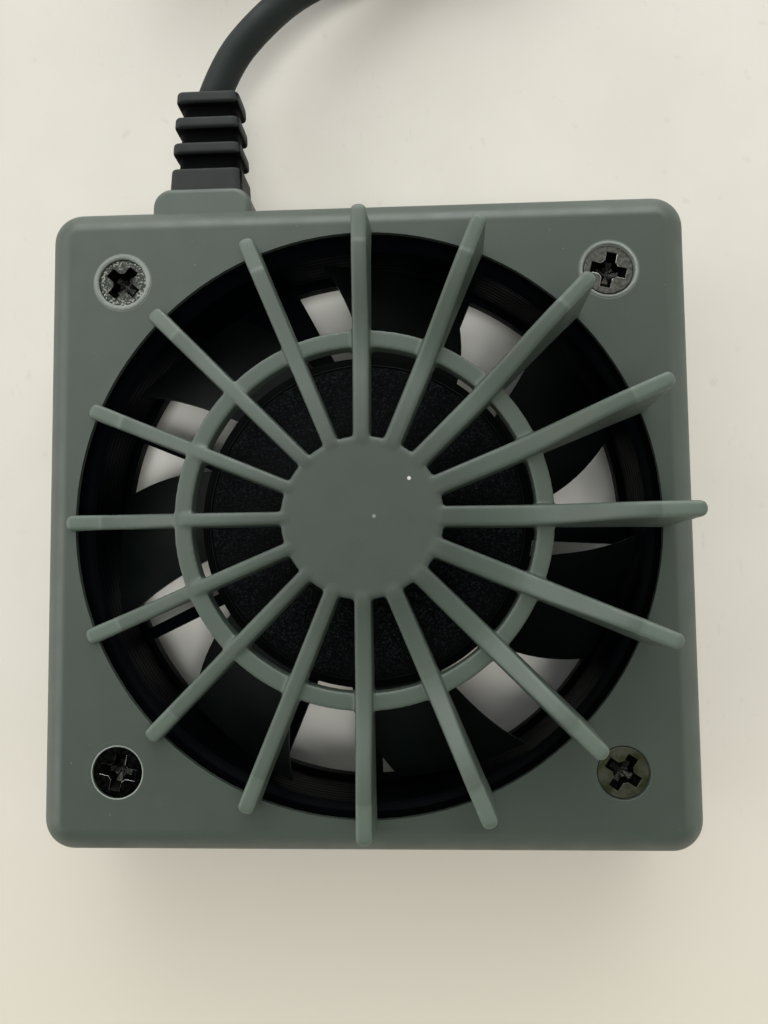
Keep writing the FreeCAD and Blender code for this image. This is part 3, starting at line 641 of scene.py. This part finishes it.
def screw_blank(name, place):
    """A countersunk screw without its recess, its flat top as one face."""
    profile = [(AT_AXIS, 0.0), (1.2, 0.0), (HEAD_R - 0.10, 0.0), (HEAD_R - 0.02, -0.03),
               (HEAD_R, -0.09), (SHANK_R, -HEAD_H), (SHANK_R, SCREW_TIP + 0.3),
               (SHANK_R - 0.3, SCREW_TIP), (AT_AXIS, SCREW_TIP)]
    mesh = lathe(name, profile[::-1], ROUND_SEGMENTS, place)
    bm = bmesh.new()
    bm.from_mesh(mesh)
    bmesh.ops.remove_doubles(bm, verts=bm.verts, dist=2e-6)
    bmesh.ops.recalc_face_normals(bm, faces=bm.faces)
    flat_top = [face for face in bm.faces if face.normal.z > 0.999]
    bmesh.ops.dissolve_faces(bm, faces=flat_top, use_verts=True)
    bm.to_mesh(mesh)
    bm.free()
    return mesh


def make_screw(name, x, y, turn, head, edge):
    """A screw whose recess walls are painted near black as shade, round a lighter tip; its worn
    edges on two screws carry painted highlights.
    """
    place = (x, y + AXIS_Y, SCREW_TOP)
    obj = add(name, screw_blank(name, place), head)
    cutter = bpy.data.objects.new("cutter", cross_cutter(turn, place))
    scene.collection.objects.link(cutter)
    cut = obj.modifiers.new("recess", "BOOLEAN")
    cut.operation = "DIFFERENCE"
    cut.solver = "EXACT"
    cut.object = cutter
    break_edges(obj, EDGE_W, 2)
    apply_modifiers(obj)
    bpy.data.objects.remove(cutter)
    materials = obj.data.materials
    materials.clear()
    for material in (head, RECESS, RECESS_TIP, edge):
        materials.append(material)
    for polygon in obj.data.polygons:
        radius = math.hypot(polygon.center.x / MM - place[0], polygon.center.y / MM - place[1])
        depth = SCREW_TOP - polygon.center.z / MM
        if radius >= RECESS_R or depth >= RECESS_DEEP or depth <= 0.001:
            polygon.material_index = 0
        # faces down in the recess take the painted shade, and the rim its edge finish
        elif depth > EDGE_W:
            polygon.material_index = 2 if depth > TIP_DEEP else 1
        else:
            polygon.material_index = 3
    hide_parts("cover_screws")


make_screw("cover_screw_tl", -SCREW_AT, SCREW_AT, 50, SCREW_TL, SCREW_TL)
make_screw("cover_screw_tr", SCREW_AT, SCREW_AT, 77, SCREW_TR, EDGE_WEAR_AND_HIGHLIGHT)
make_screw("cover_screw_br", SCREW_AT, -SCREW_AT, 56, SCREW_BR, SCREW_BR)
make_screw("cover_screw_bl", -SCREW_AT, -SCREW_AT, 78.4, SCREW_BL, BLACK_EDGE_HIGHLIGHT)


# ---- cord ----------------------------------------------------------------------------------
CORD_R = 1.75
COIL_X, COIL_Y = 5.2, 98.6    # y of the cord and its coil is from the fan's axis
COIL_IN_R, COIL_OUT_R = 13.2, 27.6
COIL_START, COIL_TURNS, COIL_CLIMB = -75.0, 4, 0.43
PER_TURN = 15                 # control points in a turn
LOW_Z, HIGH_Z = 1.75, 5.3
ROUTE = [(-17.2, 47.6, 11.0), (-15.6, 52.3, 10.8), (-12.3, 57.0, 10.1), (-8.0, 62.3, 8.4),
         (-2.1, 66.7, 6.1), (5.0, 69.9, 3.6), (12.3, 71.9, 1.75)]
TAIL = [(4.8, 27.2, 5.3), (-1.6, 27.4, 6.3), (-7.7, 25.5, 7.9), (-12.9, 21.7, 9.4),
        (-16.6, 16.5, 10.6), (-18.6, 10.4, 11.1)]      # from the coil's centre
TIE_ANGLE, TIE_W, TIE_T = 15.0, 5.0, 0.8


def coil_turns():
    """Four turns inwards on the table, a climb, and four turns outwards on top of them."""
    total = 2 * COIL_TURNS + COIL_CLIMB
    count = round(total * PER_TURN)
    for k in range(1, count):
        turn = total * k / count
        if turn < COIL_TURNS:
            radius = COIL_OUT_R - (COIL_OUT_R - COIL_IN_R) * turn / COIL_TURNS
            height = LOW_Z
        elif turn < COIL_TURNS + COIL_CLIMB:
            radius = COIL_IN_R
            height = LOW_Z + (HIGH_Z - LOW_Z) * (turn - COIL_TURNS) / COIL_CLIMB
        else:
            out = turn - COIL_TURNS - COIL_CLIMB
            radius = COIL_IN_R + (COIL_OUT_R - COIL_IN_R) * out / COIL_TURNS
            height = HIGH_Z
        angle = math.radians(COIL_START + 360 * turn)
        yield COIL_X + radius * math.cos(angle), COIL_Y + radius * math.sin(angle), height


def make_cord():
    tail = [(COIL_X + x, COIL_Y + y, z) for x, y, z in TAIL]
    points = ROUTE + list(coil_turns()) + tail
    curve = bpy.data.curves.new("power_cord", "CURVE")
    curve.dimensions = "3D"
    spline = curve.splines.new("NURBS")
    spline.points.add(len(points) - 1)
    for point, (x, y, z) in zip(spline.points, points):
        point.co = (x * MM, (y + AXIS_Y) * MM, z * MM, 1)
    spline.order_u = 3
    spline.use_endpoint_u = True
    spline.resolution_u = 6
    curve.bevel_depth = CORD_R * MM
    curve.bevel_resolution = 6
    curve.use_fill_caps = True
    return add("power_cord", curve, CORD_PVC)


def crossed_radii():
    """Radii of the turns near the strap. The spline runs inside its control points."""
    drawn_in = math.cos(math.pi / PER_TURN)
    for x, y, z in coil_turns():
        angle = math.degrees(math.atan2(y - COIL_Y, x - COIL_X))
        if abs(angle - TIE_ANGLE) < 180 / PER_TURN + 1:
            yield math.hypot(x - COIL_X, y - COIL_Y) * drawn_in


def make_tie():
    """A strap drawn snugly round the turns where it crosses them."""
    radii = list(crossed_radii())
    inner, outer, top = min(radii) - CORD_R, max(radii) + CORD_R, HIGH_Z + CORD_R
    outline = [(inner - TIE_T, 0), (outer + TIE_T, 0), (outer + TIE_T, top + TIE_T),
               (inner - TIE_T, top + TIE_T)]
    hollow = [(inner, TIE_T), (outer, TIE_T), (outer, top), (inner, top)]
    along = Vector((math.cos(math.radians(TIE_ANGLE)), math.sin(math.radians(TIE_ANGLE)), 0))
    across = Vector((-along.y, along.x, 0))
    centre = Vector((COIL_X, COIL_Y + AXIS_Y, 0))
    verts, faces = [], []
    for side in (-TIE_W / 2, TIE_W / 2):
        for radius, z in outline + hollow:
            verts.append((centre + along * radius + across * side + Vector((0, 0, z))) * MM)
    for k in range(4):
        after = (k + 1) % 4
        faces.append((k, after, 8 + after, 8 + k))
        faces.append((4 + after, 4 + k, 12 + k, 12 + after))
        faces.append((after, k, 4 + k, 4 + after))
        faces.append((8 + k, 8 + after, 12 + after, 12 + k))
    obj = add("coil_strap", closed_mesh("coil_strap", verts, faces), TIE)
    break_edges(obj, 0.3, 3)
    apply_modifiers(obj)
    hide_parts("coil_tie")
    return obj


cord = make_cord()
tie = make_tie()
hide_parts("cord", "cord_coil", "cord_tail")


# ---- floor, light, camera ------------------------------------------------------------------
# azimuth and elevation of each source in degrees, how narrow it is, strength, colour
LOBES = (
    (90, 15, 6, 4.8, (0.985, 1.0, 1.0)),
    (180, 15, 6, 2.5, (1.0, 1.0, 0.98)),
    (0, 15, 6, 1.0, (1.0, 0.985, 0.95)),
    (90, 55, 8, 0.60, (0.985, 1.0, 1.0)),
    (270, 12, 8, 0.4, (1.0, 0.98, 0.94)),
)
LAMP_AWAY = 0.8               # metres
LAMP_AIM = Vector((0, 0, 0.01))


def make_floor():
    """A pale table with faint clouds, grime and scuffs, painted darker and yellower towards -Y as
    shade, with a painted pool of light under the fan.
    """
    finish = Finish("table", (0.68, 0.655, 0.585), 0.6)
    cloud = finish.ramp(finish.noise(14.0, 5.0), 0.3, 0.7)
    tone = finish.mix(cloud, (0.612, 0.588, 0.522), (0.648, 0.622, 0.560))
    grime = finish.ramp(finish.noise(2.5, 3.0), 0.66, 0.74, 0.0, 0.35)
    tone = finish.mix(grime, tone, (0.50, 0.48, 0.43))
    patch = finish.ramp(finish.noise(30.0, 2.0), 0.50, 0.60)
    scuff = finish.ramp(finish.noise(0.9, 4.0, (1.0, 0.35, 1.0)), 0.62, 0.72, 0.0, 0.22)
    tone = finish.mix(finish.math("MULTIPLY", patch, scuff), tone, (0.40, 0.385, 0.345))
    # painted shade: darker and yellower towards -Y
    near_side = finish.ramp(finish.distance(0, -150), 190 * MM, 100 * MM)
    near_side_shade = finish.math("MULTIPLY", near_side, near_side)
    tone = finish.mix(near_side_shade, tone, (0.615, 0.575, 0.485))
    # a painted pool of light on the table under the fan's openings
    from_axis = finish.distance(0, AXIS_Y)
    light_pool = finish.math("MULTIPLY", finish.ramp(from_axis, 18 * MM, 25 * MM),
                        finish.ramp(from_axis, 30 * MM, 28.5 * MM))
    finish.paint(finish.mix(light_pool, tone, (0.97, 0.97, 0.91)))
    bpy.ops.mesh.primitive_plane_add(size=3.0, location=(0, 0, 0))
    floor = bpy.context.object
    floor.name = "table"
    floor.data.materials.append(finish.material)


def towards(azimuth, elevation):
    """The direction of a source, from its angles in degrees."""
    across, up = math.radians(azimuth), math.radians(elevation)
    return Vector((math.cos(across) * math.cos(up), math.sin(across) * math.cos(up),
                   math.sin(up)))


def make_world():
    """Low, wide sources round the room: a window beyond +Y and paler walls elsewhere."""
    world = bpy.data.worlds.new("room")
    scene.world = world
    world.use_nodes = True
    tree = world.node_tree
    direction = tree.nodes.new("ShaderNodeTexCoord").outputs["Generated"]
    glow = (0, 0, 0)
    for azimuth, elevation, power, level, colour in LOBES:
        source = towards(azimuth, elevation)
        facing = maths(tree, "DOT_PRODUCT", direction, source, vector=True)
        lobe = maths(tree, "POWER", maths(tree, "MAXIMUM", facing, 0.0), power)
        tint = maths(tree, "MULTIPLY", tuple(c * level for c in colour), lobe, vector=True)
        glow = maths(tree, "ADD", glow, tint, vector=True)
    tree.links.new(glow, tree.nodes["Background"].inputs["Color"])


def area_lamp(name, azimuth, tilt, power, size, colour):
    """A soft lamp, tilted by that much from overhead."""
    light = bpy.data.lights.new(name, "AREA")
    light.energy = power
    light.size = size
    light.color = colour
    lamp = bpy.data.objects.new(name, light)
    scene.collection.objects.link(lamp)
    lamp.location = towards(azimuth, 90 - tilt) * LAMP_AWAY
    lamp.rotation_euler = (LAMP_AIM - lamp.location).to_track_quat("-Z", "Y").to_euler()
    return lamp


def make_lamps():
    """Two lamps light the table through the fan without a glare, and one gives only a sheen."""
    warm, cool = (1.0, 0.985, 0.955), (0.96, 1.0, 1.0)
    area_lamp("lamp_south", 270, 18, 1.6, 0.25, warm).visible_glossy = False
    area_lamp("lamp_south_east", 315, 18, 1.8, 0.25, warm).visible_glossy = False
    area_lamp("lamp_sheen", 142, 34, 1.1, 0.5, cool).visible_diffuse = False


def make_camera():
    """A phone's wide camera, 80 mm over the face and nearly straight above it."""
    camera = bpy.data.cameras.new("camera")
    camera.sensor_width = 36.0
    camera.lens = 28.125
    camera.clip_start = 0.001
    camera.clip_end = 10.0
    obj = bpy.data.objects.new("camera", camera)
    scene.collection.objects.link(obj)
    place = Vector((5.648, -5.966, 97.120)) * MM
    aim = Vector((1.967, -0.689, 17.0)) * MM
    forward = (aim - place).normalized()
    up_hint = Vector((0.01402, 0.99778, 0.06508))
    right = forward.cross(up_hint).normalized()
    axes = Matrix((right, right.cross(forward), -forward)).transposed()
    obj.matrix_world = Matrix.Translation(place) @ axes.to_4x4()
    scene.camera = obj


make_floor()
make_world()
make_lamps()
make_camera()
